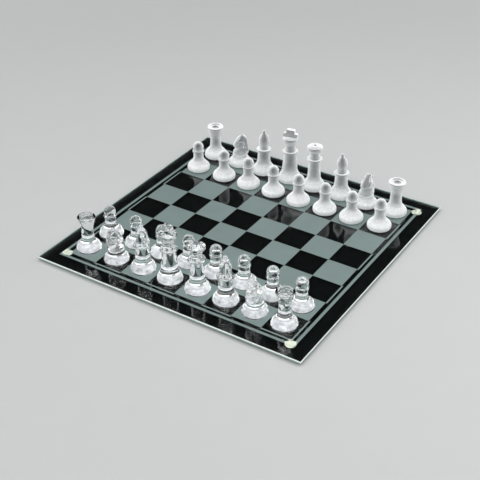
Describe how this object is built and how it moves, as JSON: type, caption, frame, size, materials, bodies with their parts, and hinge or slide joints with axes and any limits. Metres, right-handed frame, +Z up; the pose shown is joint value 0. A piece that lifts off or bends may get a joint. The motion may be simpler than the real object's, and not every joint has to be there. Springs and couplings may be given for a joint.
{
  "type": "glass chess set with board",
  "caption": "Square glass chess board with a frosted chequer on low round feet, carrying an army of clear glass pieces and an army of frosted ones that lift off.",
  "frame": {"origin": "middle of the board, on the ground under its feet", "axes": "+X along the rows of pieces from the h file to the a file, +Y from the clear army to the frosted army, +Z up"},
  "size_m": [0.35, 0.35, 0.0782],
  "materials": {
    "board_glass": "polished float glass with bright green edges, smoke-tinted underneath",
    "frosted_surface": "acid-etched matte frosting on the board's upper face",
    "foot_vinyl": "milky translucent, smooth",
    "clear_glass": "clear pressed glass, fire polished",
    "frosted_glass": "acid-etched frosted white glass, matte",
    "felt": "white felt, napped"
  },
  "bodies": {
    "board": {"glass_plate": "board_glass", "frosted_field": "frosted_surface", "frosted_line": "frosted_surface", "board_foot_h8": "foot_vinyl", "board_foot_a8": "foot_vinyl", "board_foot_a1": "foot_vinyl", "board_foot_h1": "foot_vinyl"},
    "clear_rook_h": {"clear_rook_h": "clear_glass", "clear_rook_h_felt": "felt"},
    "clear_knight_g": {"clear_knight_g": "clear_glass", "clear_knight_g_felt": "felt"},
    "clear_bishop_f": {"clear_bishop_f": "clear_glass", "clear_bishop_f_felt": "felt"},
    "clear_king": {"clear_king": "clear_glass", "clear_king_felt": "felt"},
    "clear_queen": {"clear_queen": "clear_glass", "clear_queen_felt": "felt"},
    "clear_bishop_c": {"clear_bishop_c": "clear_glass", "clear_bishop_c_felt": "felt"},
    "clear_knight_b": {"clear_knight_b": "clear_glass", "clear_knight_b_felt": "felt"},
    "clear_rook_a": {"clear_rook_a": "clear_glass", "clear_rook_a_felt": "felt"},
    "clear_pawn_h": {"clear_pawn_h": "clear_glass", "clear_pawn_h_felt": "felt"},
    "clear_pawn_g": {"clear_pawn_g": "clear_glass", "clear_pawn_g_felt": "felt"},
    "clear_pawn_f": {"clear_pawn_f": "clear_glass", "clear_pawn_f_felt": "felt"},
    "clear_pawn_e": {"clear_pawn_e": "clear_glass", "clear_pawn_e_felt": "felt"},
    "clear_pawn_d": {"clear_pawn_d": "clear_glass", "clear_pawn_d_felt": "felt"},
    "clear_pawn_c": {"clear_pawn_c": "clear_glass", "clear_pawn_c_felt": "felt"},
    "clear_pawn_b": {"clear_pawn_b": "clear_glass", "clear_pawn_b_felt": "felt"},
    "clear_pawn_a": {"clear_pawn_a": "clear_glass", "clear_pawn_a_felt": "felt"},
    "frosted_rook_h": {"frosted_rook_h": "frosted_glass"},
    "frosted_knight_g": {"frosted_knight_g": "frosted_glass"},
    "frosted_bishop_f": {"frosted_bishop_f": "frosted_glass"},
    "frosted_king": {"frosted_king": "frosted_glass"},
    "frosted_queen": {"frosted_queen": "frosted_glass"},
    "frosted_bishop_c": {"frosted_bishop_c": "frosted_glass"},
    "frosted_knight_b": {"frosted_knight_b": "frosted_glass"},
    "frosted_rook_a": {"frosted_rook_a": "frosted_glass"},
    "frosted_pawn_h": {"frosted_pawn_h": "frosted_glass"},
    "frosted_pawn_g": {"frosted_pawn_g": "frosted_glass"},
    "frosted_pawn_f": {"frosted_pawn_f": "frosted_glass"},
    "frosted_pawn_e": {"frosted_pawn_e": "frosted_glass"},
    "frosted_pawn_d": {"frosted_pawn_d": "frosted_glass"},
    "frosted_pawn_c": {"frosted_pawn_c": "frosted_glass"},
    "frosted_pawn_b": {"frosted_pawn_b": "frosted_glass"},
    "frosted_pawn_a": {"frosted_pawn_a": "frosted_glass"}
  },
  "joints": [
    {"name": "lift_clear_rook_h", "type": "slide", "parent": "board", "child": "clear_rook_h", "axis": [0, 0, 1], "range_m": [0, 0.09]},
    {"name": "lift_clear_knight_g", "type": "slide", "parent": "board", "child": "clear_knight_g", "axis": [0, 0, 1], "range_m": [0, 0.09]},
    {"name": "lift_clear_bishop_f", "type": "slide", "parent": "board", "child": "clear_bishop_f", "axis": [0, 0, 1], "range_m": [0, 0.09]},
    {"name": "lift_clear_king", "type": "slide", "parent": "board", "child": "clear_king", "axis": [0, 0, 1], "range_m": [0, 0.09]},
    {"name": "lift_clear_queen", "type": "slide", "parent": "board", "child": "clear_queen", "axis": [0, 0, 1], "range_m": [0, 0.09]},
    {"name": "lift_clear_bishop_c", "type": "slide", "parent": "board", "child": "clear_bishop_c", "axis": [0, 0, 1], "range_m": [0, 0.09]},
    {"name": "lift_clear_knight_b", "type": "slide", "parent": "board", "child": "clear_knight_b", "axis": [0, 0, 1], "range_m": [0, 0.09]},
    {"name": "lift_clear_rook_a", "type": "slide", "parent": "board", "child": "clear_rook_a", "axis": [0, 0, 1], "range_m": [0, 0.09]},
    {"name": "lift_clear_pawn_h", "type": "slide", "parent": "board", "child": "clear_pawn_h", "axis": [0, 0, 1], "range_m": [0, 0.09]},
    {"name": "lift_clear_pawn_g", "type": "slide", "parent": "board", "child": "clear_pawn_g", "axis": [0, 0, 1], "range_m": [0, 0.09]},
    {"name": "lift_clear_pawn_f", "type": "slide", "parent": "board", "child": "clear_pawn_f", "axis": [0, 0, 1], "range_m": [0, 0.09]},
    {"name": "lift_clear_pawn_e", "type": "slide", "parent": "board", "child": "clear_pawn_e", "axis": [0, 0, 1], "range_m": [0, 0.09]},
    {"name": "lift_clear_pawn_d", "type": "slide", "parent": "board", "child": "clear_pawn_d", "axis": [0, 0, 1], "range_m": [0, 0.09]},
    {"name": "lift_clear_pawn_c", "type": "slide", "parent": "board", "child": "clear_pawn_c", "axis": [0, 0, 1], "range_m": [0, 0.09]},
    {"name": "lift_clear_pawn_b", "type": "slide", "parent": "board", "child": "clear_pawn_b", "axis": [0, 0, 1], "range_m": [0, 0.09]},
    {"name": "lift_clear_pawn_a", "type": "slide", "parent": "board", "child": "clear_pawn_a", "axis": [0, 0, 1], "range_m": [0, 0.09]},
    {"name": "lift_frosted_rook_h", "type": "slide", "parent": "board", "child": "frosted_rook_h", "axis": [0, 0, 1], "range_m": [0, 0.09]},
    {"name": "lift_frosted_knight_g", "type": "slide", "parent": "board", "child": "frosted_knight_g", "axis": [0, 0, 1], "range_m": [0, 0.09]},
    {"name": "lift_frosted_bishop_f", "type": "slide", "parent": "board", "child": "frosted_bishop_f", "axis": [0, 0, 1], "range_m": [0, 0.09]},
    {"name": "lift_frosted_king", "type": "slide", "parent": "board", "child": "frosted_king", "axis": [0, 0, 1], "range_m": [0, 0.09]},
    {"name": "lift_frosted_queen", "type": "slide", "parent": "board", "child": "frosted_queen", "axis": [0, 0, 1], "range_m": [0, 0.09]},
    {"name": "lift_frosted_bishop_c", "type": "slide", "parent": "board", "child": "frosted_bishop_c", "axis": [0, 0, 1], "range_m": [0, 0.09]},
    {"name": "lift_frosted_knight_b", "type": "slide", "parent": "board", "child": "frosted_knight_b", "axis": [0, 0, 1], "range_m": [0, 0.09]},
    {"name": "lift_frosted_rook_a", "type": "slide", "parent": "board", "child": "frosted_rook_a", "axis": [0, 0, 1], "range_m": [0, 0.09]},
    {"name": "lift_frosted_pawn_h", "type": "slide", "parent": "board", "child": "frosted_pawn_h", "axis": [0, 0, 1], "range_m": [0, 0.09]},
    {"name": "lift_frosted_pawn_g", "type": "slide", "parent": "board", "child": "frosted_pawn_g", "axis": [0, 0, 1], "range_m": [0, 0.09]},
    {"name": "lift_frosted_pawn_f", "type": "slide", "parent": "board", "child": "frosted_pawn_f", "axis": [0, 0, 1], "range_m": [0, 0.09]},
    {"name": "lift_frosted_pawn_e", "type": "slide", "parent": "board", "child": "frosted_pawn_e", "axis": [0, 0, 1], "range_m": [0, 0.09]},
    {"name": "lift_frosted_pawn_d", "type": "slide", "parent": "board", "child": "frosted_pawn_d", "axis": [0, 0, 1], "range_m": [0, 0.09]},
    {"name": "lift_frosted_pawn_c", "type": "slide", "parent": "board", "child": "frosted_pawn_c", "axis": [0, 0, 1], "range_m": [0, 0.09]},
    {"name": "lift_frosted_pawn_b", "type": "slide", "parent": "board", "child": "frosted_pawn_b", "axis": [0, 0, 1], "range_m": [0, 0.09]},
    {"name": "lift_frosted_pawn_a", "type": "slide", "parent": "board", "child": "frosted_pawn_a", "axis": [0, 0, 1], "range_m": [0, 0.09]}
  ]
}
